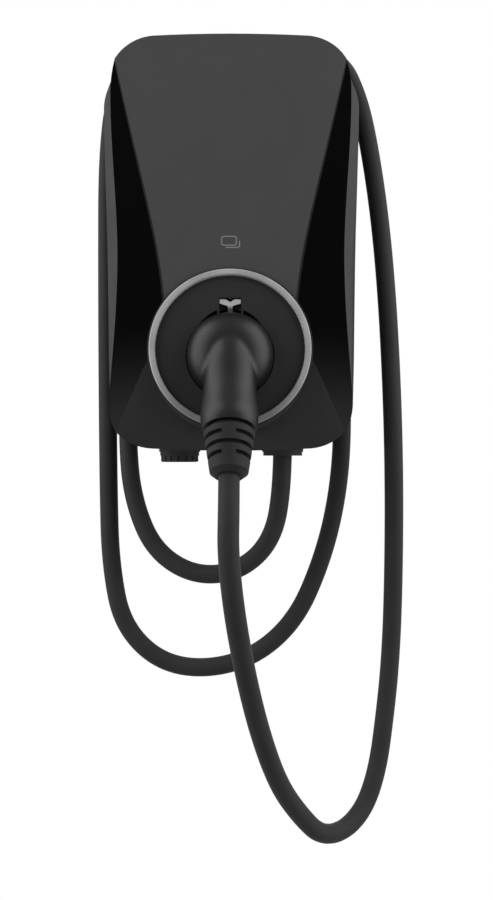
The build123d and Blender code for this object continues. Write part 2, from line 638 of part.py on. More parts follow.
def make_holster():
    """Disc inside the ring with a blind socket for the connector and a box for the latch."""
    body = rod(PANEL.location, RING_INNER_RADIUS - CLEARANCE, -RING_FOOT, 0)
    body += rod(HOLSTER, HOLSTER_BORE_RADIUS + HOLSTER_WALL, -HOLSTER_LENGTH, -RING_FOOT / 2)
    body += latch_box(-RING_FOOT / 2, 0)
    body -= rod(HOLSTER, HOLSTER_BORE_RADIUS, -HOLSTER_LENGTH + HOLSTER_WALL, RING_RISE)
    mouth = body.edges().filter_by(GeomType.CIRCLE).filter_by(lambda edge: edge.radius == HOLSTER_BORE_RADIUS)
    body = chamfer(mouth.sort_by(Axis.Y)[0], HOLSTER_MOUTH_CHAMFER)
    body -= rod(HOLSTER, DRAIN_RADIUS, -2 * HOLSTER_LENGTH, 0)
    wide = LATCH_WIDTH + 2 * LATCH_GAP
    sweep = LATCH_TOP + LATCH_TRAVEL + LATCH_GAP - HEAD_RADIUS
    body -= block(HOLSTER, wide, sweep, LATCH_BACK - LATCH_GAP, -RING_FOOT, HEAD_RADIUS)
    body -= block(HOLSTER, wide, LATCH_TOP + LATCH_GAP - HEAD_RADIUS, LATCH_BACK, RING_RISE, HEAD_RADIUS)
    body -= latch_relief(wide)
    tunnel = LATCH_TAB_WIDTH + 2 * LATCH_GAP
    tunnel_back = LATCH_TAB_BACK - LATCH_GAP
    return body - block(HOLSTER, tunnel, SPRING_TOP - HEAD_RADIUS, tunnel_back, LATCH_BACK, HEAD_RADIUS)


def latch_relief(wide):
    """Crescent above the connector's head, crossed by a thin fin on each side of the latch's slot."""
    centre = HOLSTER_BORE_RADIUS + RELIEF_RISE - RELIEF_RADIUS
    relief = rod(HOLSTER * Pos(0, centre, 0), RELIEF_RADIUS, -RELIEF_DEPTH, RING_RISE)
    relief -= block(HOLSTER, 2 * RELIEF_RADIUS, centre, -RELIEF_DEPTH, RING_RISE, centre - RELIEF_RADIUS)
    for side in (-1, 1):
        fin = HOLSTER * Pos(side * (wide + RELIEF_FIN) / 2, 0, 0)
        relief -= block(fin, RELIEF_FIN, 2 * HOLSTER_BORE_RADIUS, -RELIEF_DEPTH, 0)
    return relief


def make_holster_latch():
    """Bright catch: two wings with a vee between, a stem that holds the connector, a tab for the spring."""
    right = [
        (LATCH_VEE_HALF, LATCH_TOP),
        (LATCH_WIDTH / 2, LATCH_TOP),
        (LATCH_WIDTH / 2, LATCH_WING_FOOT + LATCH_SLOPE),
        (LATCH_STEM_WIDTH / 2, LATCH_WING_FOOT),
        (LATCH_STEM_WIDTH / 2, LATCH_TIP),
    ]
    left = [(-x, y) for x, y in reversed(right)]
    outline = make_face(Polyline((0, LATCH_TOP - LATCH_VEE_DEPTH), *right, *left, close=True))
    plate = HOLSTER * Pos(0, 0, LATCH_BACK) * extrude(outline, LATCH_THICKNESS)
    tab_height = LATCH_WING - LATCH_VEE_DEPTH
    return plate + block(
        HOLSTER, LATCH_TAB_WIDTH, tab_height, LATCH_TAB_BACK, LATCH_BACK + OVERCUT, LATCH_WING_FOOT
    )


def make_latch_spring():
    """Coil spring between the latch's tab and the end of its tunnel."""
    middle = (LATCH_TAB_BACK + LATCH_BACK) / 2
    reach = SPRING_LENGTH - 2 * SPRING_WIRE_RADIUS - 2 * PILOT_GAP
    helix = Helix(SPRING_PITCH, reach, SPRING_RADIUS)
    section = Plane(origin=helix @ 0, z_dir=helix % 0) * Circle(SPRING_WIRE_RADIUS)
    coil = sweep(section, path=helix)
    seat = LATCH_TOP + SPRING_WIRE_RADIUS + PILOT_GAP
    return HOLSTER * Pos(0, seat, middle) * Rot(-90, 0, 0) * coil


def make_card_reader_board():
    """Antenna board behind the panel, on four posts."""
    back = -FRONT_WALL - READER_STANDOFF - BOARD_THICKNESS
    bottom = READER_RISE - READER_HEIGHT / 2
    board = block(PANEL.location, READER_WIDTH, READER_HEIGHT, back, back + BOARD_THICKNESS, bottom)
    for place in reader_places():
        board -= rod(place, M3_SHANK + CLEARANCE, -OVERCUT, BOARD_THICKNESS + OVERCUT)
    return board


def make_reader_screws():
    length = BOARD_THICKNESS + READER_STANDOFF - PILOT_GAP
    return [screw(place, M3_SHANK, M3_HEAD, M3_HEAD_HEIGHT, length) for place in reader_places()]


def make_main_board():
    """Power board on four bosses of the housing."""
    board = block(at(0, 0, 0), BOARD_WIDTH, BOARD_TOP - BOARD_BOTTOM, BOARD_DEPTH, BOARD_FACE, BOARD_BOTTOM)
    for x, z in board_places():
        board -= rod(at(BOARD_DEPTH, x, z), M3_SHANK + CLEARANCE, -OVERCUT, BOARD_THICKNESS + OVERCUT)
    return board


def make_board_screws():
    screws = []
    for x, z in board_places():
        place = at(BOARD_FACE, x, z) * Rot(180, 0, 0)
        screws.append(screw(place, M3_SHANK, M3_HEAD, M3_HEAD_HEIGHT, BOARD_SCREW_LENGTH))
    return screws


def cased(x, z, width, height, depth):
    """Moulded case on the main board, with its standing edges rounded."""
    case = Box(width, height, depth, align=FORWARD)
    case = fillet(case.edges().filter_by(Axis.Z), CASE_EDGE)
    return at(BOARD_FACE, x, z) * case


def make_power_relays():
    half = RELAY_SPACING / 2
    return [cased(x, RELAY_CENTRE, RELAY_WIDTH, RELAY_HEIGHT, RELAY_DEPTH) for x in (-half, half)]


def make_supply_module():
    return cased(0, SUPPLY_CENTRE, SUPPLY_WIDTH, SUPPLY_HEIGHT, SUPPLY_DEPTH)


def make_leakage_sensor():
    """Current-sensing ring that stands on the board."""
    place = at(BOARD_FACE, SENSOR_X, SENSOR_Z)
    ring = rod(place, SENSOR_OUTER_RADIUS, 0, SENSOR_DEPTH)
    return ring - rod(place, SENSOR_INNER_RADIUS, -OVERCUT, SENSOR_DEPTH + OVERCUT)


def terminal_offsets():
    """Sideways place of each terminal from the block's middle."""
    first = -(TERMINAL_WAYS - 1) / 2 * TERMINAL_PITCH
    return [first + way * TERMINAL_PITCH for way in range(TERMINAL_WAYS)]


def make_terminal_block():
    """Screw terminals for the supply: a wire entry below and a screw well in front for each way."""
    width = TERMINAL_WAYS * TERMINAL_PITCH
    body = cased(TERMINAL_X, TERMINAL_Z, width, TERMINAL_HEIGHT, TERMINAL_DEPTH)
    for step in terminal_offsets():
        well = at(BOARD_FACE, TERMINAL_X + step, TERMINAL_Z)
        body -= rod(well, TERMINAL_SCREW_RADIUS + CLEARANCE, TERMINAL_DEPTH / 2, TERMINAL_DEPTH + OVERCUT)
        entry_depth = BOARD_FACE + TERMINAL_DEPTH / 3
        entry = Pos(TERMINAL_X + step, -entry_depth, TERMINAL_Z - TERMINAL_HEIGHT)
        body -= rod(entry, TERMINAL_WIRE_RADIUS, 0, TERMINAL_HEIGHT)
    return body


def make_terminal_screws():
    screws = []
    for step in terminal_offsets():
        place = at(BOARD_FACE + TERMINAL_DEPTH / 2, TERMINAL_X + step, TERMINAL_Z)
        slot = Box(2 * TERMINAL_SCREW_RADIUS, TERMINAL_SLOT_WIDTH, 2 * TERMINAL_SLOT_DEPTH)
        slot = place * Pos(0, 0, TERMINAL_SCREW_LENGTH) * slot
        screws.append(rod(place, TERMINAL_SCREW_RADIUS, 0, TERMINAL_SCREW_LENGTH) - slot)
    return screws


def make_gland_body(x, bore):
    """Gland under the bottom wall: a collar on the seat and a neck through the wall."""
    body = rod(gland_place(x, GLAND_SEAT), GLAND_COLLAR_RADIUS, -GLAND_COLLAR_HEIGHT, 0)
    body += rod(gland_place(x, GLAND_SEAT), GLAND_NECK_RADIUS, -GLAND_COLLAR_HEIGHT, GLAND_NECK_HEIGHT)
    return body - rod(gland_place(x, GLAND_SEAT), bore, -2 * GLAND_COLLAR_HEIGHT, 2 * GLAND_NECK_HEIGHT)


def make_gland_nut(x):
    """Hexagon nut that clamps a gland from inside."""
    base = GLAND_SEAT + WALL + GLAND_SEAT_DROP + BOTTOM_BOW
    nut = extrude(RegularPolygon(GLAND_NUT_FLATS / 2, 6, major_radius=False), GLAND_NUT_HEIGHT)
    nut -= Cylinder(GLAND_NECK_RADIUS + PILOT_GAP, 3 * GLAND_NUT_HEIGHT)
    return gland_place(x, base) * nut


def make_inlet_cap():
    """Fluted cap of the supply gland, with a hole for the supply cable."""
    top = GLAND_SEAT - GLAND_COLLAR_HEIGHT
    cap = Cylinder(GLAND_CAP_RADIUS, GLAND_CAP_HEIGHT, align=BACKWARD)
    cap = fillet(cap.edges().sort_by(Axis.Z)[0], GLAND_CAP_HEIGHT / 4)
    cap -= Cylinder(INLET_BORE_RADIUS, 3 * GLAND_CAP_HEIGHT)
    for place in PolarLocations(GLAND_CAP_RADIUS, GLAND_CAP_FLUTES):
        cap -= place * Cylinder(GLAND_FLUTE_RADIUS, 3 * GLAND_CAP_HEIGHT)
    return gland_place(INLET_X, top) * cap


def make_inlet_seal():
    """Rubber sleeve in the supply gland."""
    place = gland_place(INLET_X, GLAND_SEAT - GLAND_COLLAR_HEIGHT - GLAND_CAP_HEIGHT / 2)
    length = GLAND_CAP_HEIGHT / 2 + GLAND_COLLAR_HEIGHT + GLAND_NECK_HEIGHT / 2
    sleeve = rod(place, INLET_BORE_RADIUS - PILOT_GAP, 0, length)
    return sleeve - rod(place, INLET_SEAL_RADIUS, -OVERCUT, length + OVERCUT)


def make_connector_shell():
    """Connector body: a round head with rounded shoulders that blend into the grip."""
    head = Cylinder(HEAD_RADIUS, HEAD_LENGTH + HEAD_RISE, align=FORWARD)
    head = fillet(head.edges().sort_by(Axis.Z)[-1], HEAD_EDGE_RADIUS)
    head = CONNECTOR * Pos(0, 0, -HEAD_LENGTH) * head
    sections = [HANDLE * Pos(0, 0, along) * Ellipse(wide, deep) for along, wide, deep in HANDLE_SECTIONS]
    sections.append(HANDLE * Pos(0, 0, HANDLE_LENGTH) * Circle(BOOT_START_RADIUS))
    shell = head + loft(sections)
    curves = shell.edges().filter_by(GeomType.BSPLINE)
    seam = [edge for edge in curves if head.distance_to(edge.center()) < SEAM_TOLERANCE]
    shell = fillet(seam, HEAD_BLEND_RADIUS)
    shell -= rod(CONNECTOR, HEAD_RADIUS - HEAD_WALL, -2 * HEAD_LENGTH, -HEAD_FLOOR)
    width = LATCH_STEM_WIDTH + 2 * LATCH_GAP
    foot = HEAD_RADIUS - HEAD_NOTCH_DEPTH
    back = LATCH_BACK - LATCH_GAP
    front = LATCH_FRONT + LATCH_GAP
    return shell - block(CONNECTOR, width, 2 * HEAD_NOTCH_DEPTH, back, front, foot)


def make_connector_boot():
    """Tapered rubber boot; every second groove is bridged in front and behind."""
    body = Solid.make_cone(BOOT_START_RADIUS, BOOT_END_RADIUS, BOOT_LENGTH)
    body = chamfer(body.edges().sort_by(Axis.Z)[-1], BOOT_NOSE)
    for groove in range(BOOT_GROOVE_COUNT):
        along = groove * BOOT_GROOVE_PITCH
        radius = BOOT_START_RADIUS + (BOOT_END_RADIUS - BOOT_START_RADIUS) * along / BOOT_LENGTH
        ring = Pos(0, 0, along) * Cylinder(2 * BOOT_START_RADIUS, BOOT_GROOVE_WIDTH, align=FORWARD)
        ring -= Pos(0, 0, along) * Cylinder(radius - BOOT_GROOVE_DEPTH, BOOT_GROOVE_WIDTH, align=FORWARD)
        if groove % 2 == 1:
            ring -= Pos(0, 0, along) * Box(BOOT_BRIDGE_WIDTH, 5 * BOOT_START_RADIUS, 3 * BOOT_GROOVE_WIDTH)
        body -= ring
    return HANDLE * Pos(0, 0, HANDLE_LENGTH) * body


def contact_places():
    """Place and pin radius of the seven contacts: one in the middle, four round it, two small ones above."""
    power = [(0, 0)]
    for angle in POWER_PIN_ANGLES:
        power.append((POWER_PIN_CIRCLE * cos(radians(angle)), POWER_PIN_CIRCLE * sin(radians(angle))))
    places = [(x, y, POWER_PIN_RADIUS) for x, y in power]
    for side in (-1, 1):
        places.append((side * SIGNAL_PIN_X, SIGNAL_PIN_Y, SIGNAL_PIN_RADIUS))
    return places


def make_contact_carrier():
    """Insulating core inside the connector's head, with a well for each contact."""
    radius = HEAD_RADIUS - HEAD_WALL - CLEARANCE
    core = rod(CONNECTOR, radius - CARRIER_GAP, -HEAD_FLOOR - CARRIER_LENGTH, -HEAD_FLOOR)
    core += rod(CONNECTOR, radius, -HEAD_FLOOR - WALL, -HEAD_FLOOR)
    for x, y, pin in contact_places():
        well = CONNECTOR * Pos(x, y, -HEAD_FLOOR - CARRIER_LENGTH)
        core -= rod(well, pin + SLEEVE_WALL + PILOT_GAP, -OVERCUT, SLEEVE_LENGTH)
    return core


def make_contact_sleeves():
    """Seven bright sleeves that take the car's pins."""
    sleeves = []
    for x, y, pin in contact_places():
        foot = CONNECTOR * Pos(x, y, -HEAD_FLOOR - CARRIER_LENGTH)
        sleeve = rod(foot, pin + SLEEVE_WALL, SLEEVE_SET_BACK, SLEEVE_LENGTH)
        sleeves.append(sleeve - rod(foot, pin, 0, SLEEVE_LENGTH - SLEEVE_WALL))
    return sleeves


def cable_points():
    """Corners of the cable's route, from the outlet gland's inner end to the end of the boot."""
    start = Vector(OUTLET_X, -GLAND_DEPTH, GLAND_TOP)
    middle = [Vector(x, -depth, z) for x, depth, z in ROUTE]
    approach = BOOT_END + HANDLE_DIRECTION * CABLE_LAST_RUN
    return [start] + middle + [approach, BOOT_END]


def bend_radii(points):
    """Largest arc that each corner's two runs leave room for."""
    radii = []
    for before, corner, after in zip(points, points[1:], points[2:]):
        into = corner - before
        out = after - corner
        shorter = min(into.length, out.length)
        radii.append(RUN_SHARE * shorter / tan(radians(into.get_angle(out)) / 2))
    return radii


def make_charging_cable():
    """Round cable on straight runs and tangent arcs."""
    points = cable_points()
    radii = bend_radii(points)
    path = FilletPolyline(*points, radius=radii)
    section = Plane(origin=points[0], z_dir=points[1] - points[0]) * Circle(CABLE_DIAMETER / 2)
    cable = sweep(section, path=path)
    print("cable bend radii", [round(radius) for radius in radii])
    print("cable length", round(path.length, 1))
    print("cable volume over section times length", cable.volume / (path.length * pi * CABLE_DIAMETER**2 / 4))
    return cable


def make_parts():
    """Every piece by its name."""
    solid = front_block()
    return {
        "wall_bracket": make_wall_bracket(),
        "lock_screw": make_lock_screw(),
        "rear_housing": make_rear_housing(),
        "housing_seal": seal_ring(SEAL_DEPTH),
        "cover_screws": make_cover_screws(),
        "front_bezel": make_front_bezel(solid),
        "front_panel": make_front_panel(solid),
        "light_ring": make_light_ring(),
        "led_board": make_led_board(),
        "led_board_screws": make_led_screws(),
        "holster": make_holster(),
        "holster_latch": make_holster_latch(),
        "latch_spring": make_latch_spring(),
        "card_reader_board": make_card_reader_board(),
        "card_reader_screws": make_reader_screws(),
        "main_board": make_main_board(),
        "main_board_screws": make_board_screws(),
        "power_relays": make_power_relays(),
        "supply_module": make_supply_module(),
        "leakage_sensor": make_leakage_sensor(),
        "terminal_block": make_terminal_block(),
        "terminal_screws": make_terminal_screws(),
        "inlet_gland_body": make_gland_body(INLET_X, INLET_BORE_RADIUS),
        "inlet_gland_nut": make_gland_nut(INLET_X),
        "inlet_gland_cap": make_inlet_cap(),
        "inlet_gland_seal": make_inlet_seal(),
        "outlet_gland_body": make_gland_body(OUTLET_X, CABLE_DIAMETER / 2 + CABLE_GAP),
        "outlet_gland_nut": make_gland_nut(OUTLET_X),
        "charging_cable": make_charging_cable(),
        "connector_shell": make_connector_shell(),
        "connector_boot": make_connector_boot(),
        "contact_carrier": make_contact_carrier(),
        "contact_sleeves": make_contact_sleeves(),
    }


def main():
    os.makedirs("parts", exist_ok=True)
    for name, piece in make_parts().items():
        if isinstance(piece, list):
            piece = Compound(children=piece)
        export_step(piece, f"parts/{name}.step")


if __name__ == "__main__":
    main()
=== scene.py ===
from math import cos, pi, radians, sin

import bmesh
import bpy
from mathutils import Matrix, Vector


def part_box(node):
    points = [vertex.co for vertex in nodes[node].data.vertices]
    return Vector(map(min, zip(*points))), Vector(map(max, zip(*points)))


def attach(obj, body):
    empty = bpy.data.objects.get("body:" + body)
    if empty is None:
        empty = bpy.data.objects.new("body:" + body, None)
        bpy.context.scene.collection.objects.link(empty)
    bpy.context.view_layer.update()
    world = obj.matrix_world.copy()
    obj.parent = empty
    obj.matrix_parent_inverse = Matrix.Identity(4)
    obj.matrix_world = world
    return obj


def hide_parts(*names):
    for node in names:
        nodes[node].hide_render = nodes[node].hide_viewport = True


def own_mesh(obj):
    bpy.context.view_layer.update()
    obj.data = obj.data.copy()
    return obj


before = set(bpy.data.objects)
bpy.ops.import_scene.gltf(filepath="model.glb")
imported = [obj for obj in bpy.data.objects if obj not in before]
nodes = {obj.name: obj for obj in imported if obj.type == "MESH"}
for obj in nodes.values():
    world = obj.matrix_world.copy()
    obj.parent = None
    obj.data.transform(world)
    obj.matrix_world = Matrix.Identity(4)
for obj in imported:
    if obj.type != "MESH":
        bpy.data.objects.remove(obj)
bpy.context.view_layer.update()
BODY = "wallbox"

# Lengths are in metres where no heading says millimetres
MILLIMETRES_PER_METRE = 1000

# Cable: thickness and length, steps round it and along it, and the order of its spline
CABLE_DIAMETER = 0.0138
CABLE_ROUND_STEPS, CABLE_RUN_STEPS = 8, 12
CABLE_SPLINE_ORDER = 3

# Cable's route as X, depth and height in millimetres: start in the gland, run, and end in the boot
CABLE_START = (37.5, 51, -135.3)
CABLE_ROUTE = [
    (37.5, 51, -173), (30, 47, -213), (5, 42, -236), (-28, 37, -239), (-57, 33, -221), (-72, 29, -188),
    (-78, 24, -150), (-77.6, 20, -80), (-77.3, 17, 0), (-77.6, 16, 60), (-77, 16, 102), (-65, 16, 123),
    (-44, 16, 134.8), (-16, 16, 136), (16, 16, 136), (44, 16, 134.8), (65, 16, 123), (77.5, 16, 102),
    (78.5, 16, 60), (79, 17, 0), (80, 17, -60), (84, 18, -115), (81.5, 18, -172), (69.7, 18, -226),
    (46.5, 18, -279), (5, 18, -309), (-47, 18, -311), (-82, 18, -281), (-91.5, 18, -232),
    (-93, 18, -175), (-93.8, 18, -90), (-94.2, 17.5, 0), (-94, 17, 75), (-88, 17, 126), (-58, 17, 151),
    (0, 18, 155), (55, 19, 157), (83, 20.5, 146), (95, 22.5, 119), (102, 25, 88), (109.5, 30, 36),
    (114.5, 36, -22), (117.5, 41.5, -85), (119, 46, -146), (119.5, 44.5, -205), (119, 39, -268),
    (117, 36, -310), (113.5, 36, -343), (108.2, 39, -380), (98.1, 46.6, -407.3), (81.7, 61.9, -420.3),
    (63.6, 80.3, -418), (49, 96, -400), (33, 117, -373), (20, 139, -333), (10, 157, -289),
    (3, 175, -246), (-0.5, 180, -210),
]
CABLE_END = [(0, 175.84, -184.45), (0, 164.94, -163.07)]

# Leaning panel: a point of its plane and its lean
PANEL_POINT = Vector((0, -0.11351, -0.077))
PANEL_LEAN = radians(8.0)
PANEL_UP = Vector((0, sin(PANEL_LEAN), cos(PANEL_LEAN)))
PANEL_OUT = Vector((0, -cos(PANEL_LEAN), sin(PANEL_LEAN)))

# Card symbol on the panel: its middle, a card's size, the step to the card behind, the printed line
SYMBOL_X, SYMBOL_RISE = -0.0009, 0.0755
CARD_WIDTH, CARD_HEIGHT, CARD_CORNER = 0.0101, 0.0063, 0.0015
CARD_STEP_X, CARD_STEP_Y = 0.0022, -0.0016
PRINT_WIDTH, PRINT_HEIGHT = 0.0008, 0.00008
CORNER_STEPS = 8

# Latch spring: radius of its coil and wire, pitch and length
SPRING_RADIUS, SPRING_WIRE = 0.0017, 0.0003
SPRING_PITCH, SPRING_REACH = 0.0015, 0.0052
COIL_STEPS, WIRE_SIDES = 84, 10

# Camera of the photograph, its lens and sensor in millimetres
CAMERA_PLACE = (0.01115, -0.962, -0.146)
CAMERA_LENS = 50.0
CAMERA_SENSOR = 36.0

# Lamps: a large one at each side of the object, turned to one point, and the even light round it
LAMP_TARGET = (0, -0.1, -0.1)
LAMP_WIDTH, LAMP_HEIGHT, LAMP_POWER = 1.0, 1.6, 20.5
LAMP_REACH, LAMP_DEPTH, LAMP_RISE = 0.9, -0.32, 0.33
ROOM_LIGHT = 0.36

# Moulded surfaces: clouds in colour and gloss, and the fine grain
CLOUD_SCALE, CLOUD_DETAIL = 38.0, 3.0
CLOUD_BAND = (0.35, 0.65)
CLOUD_GLOSS = 0.05
GRAIN_SCALE, GRAIN_DETAIL = 2600.0, 2.0
GRAIN_HEIGHT = 0.0002

# Metal surfaces: fine streaks in colour and gloss
STREAK_SCALE, STREAK_DETAIL = 900.0, 2.0
STREAK_BAND = (0.3, 0.7)
STREAK_SHADE = 0.88
STREAK_GLOSS = 0.2

# Side facets: how far a face turns sideways and stands upright before it darkens, partly to the facets' own
# black and partly as painted shade, and their lighter foot, which is painted light
SIDE_BAND = (0.05, 0.3)
UPRIGHT_BAND = (0.7, 0.35)
FACET_FOOT_PAINTED_LIGHT_BAND = (-0.15, -0.058)
FACET_FOOT_PAINTED_LIGHT_SHARE = 0.58
FACET_BLACK_AND_SHADE_FACTOR = 0.06

# Painted shade: heights between which the light ring and the latch turn darker, downwards, and by what
# factor
RING_PAINTED_SHADE_BAND, RING_PAINTED_SHADE_FACTOR = (-0.128, -0.085), 0.6
LATCH_PAINTED_SHADE_BAND, LATCH_PAINTED_SHADE_FACTOR = (-0.05, -0.0465), 0.12

# Floor, out of the photograph's view
FLOOR_HEIGHT = -0.62
FLOOR_REACH = 0.8
FLOOR_BACK = 0.30
FLOOR_COLOUR = (0.6, 0.6, 0.6)
FLOOR_GRAIN = 300.0


def new_material(name):
    """New node material, as the material, its node tree and its shader."""
    material = bpy.data.materials.new(name)
    material.use_nodes = True
    tree = material.node_tree
    return material, tree, tree.nodes["Principled BSDF"]


def own_place(tree):
    """Place on a piece in the piece's own coordinates, as a socket."""
    return tree.nodes.new("ShaderNodeTexCoord").outputs["Object"]


def parts_of(tree, vector):
    """The X, Y and Z of a vector, as sockets."""
    parts = tree.nodes.new("ShaderNodeSeparateXYZ")
    tree.links.new(vector, parts.inputs["Vector"])
    return parts.outputs


def noise(tree, place, scale, detail):
    """Noise over a piece, as a socket."""
    texture = tree.nodes.new("ShaderNodeTexNoise")
    texture.inputs["Scale"].default_value = scale
    texture.inputs["Detail"].default_value = detail
    tree.links.new(place, texture.inputs["Vector"])
    return texture.outputs["Fac"]


def ramp(tree, value, band, dark, light):
    """Two-colour ramp over a band of a value, as a socket."""
    blend = tree.nodes.new("ShaderNodeValToRGB")
    for element, position, colour in zip(blend.color_ramp.elements, band, (dark, light)):
        element.position = position
        element.color = (*colour, 1)
    tree.links.new(value, blend.inputs["Fac"])
    return blend.outputs["Color"]


def map_range(tree, value, band, low, high, smooth=False):
    """Value carried from a band to the range between two levels, as a socket."""
    carry = tree.nodes.new("ShaderNodeMapRange")
    if smooth:
        carry.interpolation_type = "SMOOTHSTEP"
    carry.inputs["From Min"].default_value = band[0]
    carry.inputs["From Max"].default_value = band[1]
    carry.inputs["To Min"].default_value = low
    carry.inputs["To Max"].default_value = high
    tree.links.new(value, carry.inputs["Value"])
    return carry.outputs["Result"]


def compute(tree, operation, *values):
    """Result of one operation on values, as a socket."""
    step = tree.nodes.new("ShaderNodeMath")
    step.operation = operation
    for place, value in enumerate(values):
        tree.links.new(value, step.inputs[place])
    return step.outputs["Value"]


def moulded(name, colour, roughness, specular, grain=GRAIN_SCALE, relief=0.04, spread=0.12):
    """Plastic, rubber or board: fine grain in the surface, faint clouds in colour and gloss."""
    material, tree, shader = new_material(name)
    place = own_place(tree)
    clouds = noise(tree, place, CLOUD_SCALE, CLOUD_DETAIL)
    dark = [channel * (1 - spread) for channel in colour]
    light = [channel * (1 + spread) for channel in colour]
    tree.links.new(ramp(tree, clouds, CLOUD_BAND, dark, light), shader.inputs["Base Color"])
    gloss = map_range(tree, clouds, (0, 1), roughness - CLOUD_GLOSS, roughness + CLOUD_GLOSS)
    tree.links.new(gloss, shader.inputs["Roughness"])
    shader.inputs["Specular IOR Level"].default_value = specular
    bump = tree.nodes.new("ShaderNodeBump")
    bump.inputs["Strength"].default_value = relief
    bump.inputs["Distance"].default_value = GRAIN_HEIGHT
    tree.links.new(noise(tree, place, grain, GRAIN_DETAIL), bump.inputs["Height"])
    tree.links.new(bump.outputs["Normal"], shader.inputs["Normal"])
    return material


def metal(name, colour, roughness, stretch):
    """Plated metal with fine streaks along one direction."""
    material, tree, shader = new_material(name)
    mapping = tree.nodes.new("ShaderNodeMapping")
    mapping.inputs["Scale"].default_value = stretch
    tree.links.new(own_place(tree), mapping.inputs["Vector"])
    streaks = noise(tree, mapping.outputs["Vector"], STREAK_SCALE, STREAK_DETAIL)
    dark = [channel * STREAK_SHADE for channel in colour]
    tree.links.new(ramp(tree, streaks, STREAK_BAND, dark, colour), shader.inputs["Base Color"])
    smoothest = roughness * (1 - STREAK_GLOSS)
    roughest = roughness * (1 + STREAK_GLOSS)
    tree.links.new(map_range(tree, streaks, (0, 1), smoothest, roughest), shader.inputs["Roughness"])
    shader.inputs["Metallic"].default_value = 1.0
    return material


def height_share(tree, band, at_low, at_high):
    """Smooth value over a band of a piece's own height, as a socket."""
    height = parts_of(tree, own_place(tree))["Z"]
    return map_range(tree, height, band, at_low, at_high, smooth=True)


def side_share(tree):
    """How far a face is turned to the left or right and not up or down, as a socket."""
    normal = parts_of(tree, tree.nodes.new("ShaderNodeNewGeometry").outputs["True Normal"])
    sideways = map_range(tree, compute(tree, "ABSOLUTE", normal["X"]), SIDE_BAND, 0, 1, smooth=True)
    upright = map_range(tree, compute(tree, "ABSOLUTE", normal["Z"]), UPRIGHT_BAND, 0, 1, smooth=True)
    return compute(tree, "MULTIPLY", sideways, upright)


def darken(material, share, factor):
    """Multiplies a material's own colour by a factor where a share is one."""
    tree = material.node_tree
    colour = tree.nodes["Principled BSDF"].inputs["Base Color"]
    own = colour.links[0].from_socket
    mix = tree.nodes.new("ShaderNodeMix")
    mix.data_type = "RGBA"
    mix.blend_type = "MULTIPLY"
    mix.inputs["B"].default_value = (factor, factor, factor, 1)
    tree.links.new(share, mix.inputs["Factor"])
    tree.links.new(own, mix.inputs["A"])
    tree.links.new(mix.outputs["Result"], colour)


def facet_black_and_painted_shade(material):
    """Turns a material to deep black on the side facets, partly their own black and partly painted shade,
    and a little lighter at their foot with painted light.
    """
    tree = material.node_tree
    foot = height_share(tree, FACET_FOOT_PAINTED_LIGHT_BAND, FACET_FOOT_PAINTED_LIGHT_SHARE, 1)
    darken(material, compute(tree, "MULTIPLY", side_share(tree), foot), FACET_BLACK_AND_SHADE_FACTOR)
    return material


def painted_shade_below(material, band, factor):
    """Darkens a material below a band of its height: painted shade."""
    darken(material, height_share(material.node_tree, band, 1, 0), factor)
    return material


def route_point(point):
    """Route point in metres in the shared frame."""
    x, depth, height = point
    return Vector((x, -depth, height)) / MILLIMETRES_PER_METRE


def make_cable(material):
    """Charging cable as one smooth spline that the route's points control."""
    curve = bpy.data.curves.new("charging_cable_line", "CURVE")
    curve.dimensions = "3D"
    curve.bevel_depth = CABLE_DIAMETER / 2
    curve.bevel_resolution = CABLE_ROUND_STEPS
    curve.resolution_u = CABLE_RUN_STEPS
    curve.use_fill_caps = True
    points = [route_point(point) for point in [CABLE_START] + CABLE_ROUTE + CABLE_END]
    spline = curve.splines.new("NURBS")
    spline.points.add(len(points) - 1)
    for control, place in zip(spline.points, points):
        control.co = (*place, 1)
    spline.order_u = CABLE_SPLINE_ORDER
    spline.use_endpoint_u = True
    curve.materials.append(material)
    cable = bpy.data.objects.new("charging_cable_visual", curve)
    bpy.context.scene.collection.objects.link(cable)
    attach(cable, BODY)
    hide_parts("charging_cable")


def new_piece(name, mesh, material):
    """Object made from mesh data, riding on the body."""
    data = bpy.data.meshes.new(name)
    mesh.to_mesh(data)
    mesh.free()
    data.materials.append(material)
    piece = bpy.data.objects.new(name, data)
    bpy.context.scene.collection.objects.link(piece)
    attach(piece, BODY)
    return piece


def on_panel(point):
    """Place on the panel's face, from the symbol's middle."""
    across, rise = point
    sideways = Vector((SYMBOL_X + across, 0, 0))
    return PANEL_POINT + sideways + PANEL_UP * (SYMBOL_RISE + rise) + PANEL_OUT * PRINT_HEIGHT / 2


def corner(x, y, start):
    """Points of a quarter turn round a card's corner, from a start angle on."""
    turns = [start + pi / 2 * step / CORNER_STEPS for step in range(CORNER_STEPS + 1)]
    return [(x + CARD_CORNER * cos(turn), y + CARD_CORNER * sin(turn)) for turn in turns]


def card_line(closed):
    """Middle line of a card's outline, or of its lower and right sides from half way round a corner."""
    x = CARD_WIDTH / 2 - CARD_CORNER
    y = CARD_HEIGHT / 2 - CARD_CORNER
    line = corner(-x, -y, pi) + corner(x, -y, 1.5 * pi)
    if closed:
        return line + corner(x, y, 0) + corner(-x, y, pi / 2)
    return line[CORNER_STEPS // 2 + 1:] + [(CARD_WIDTH / 2, y)]


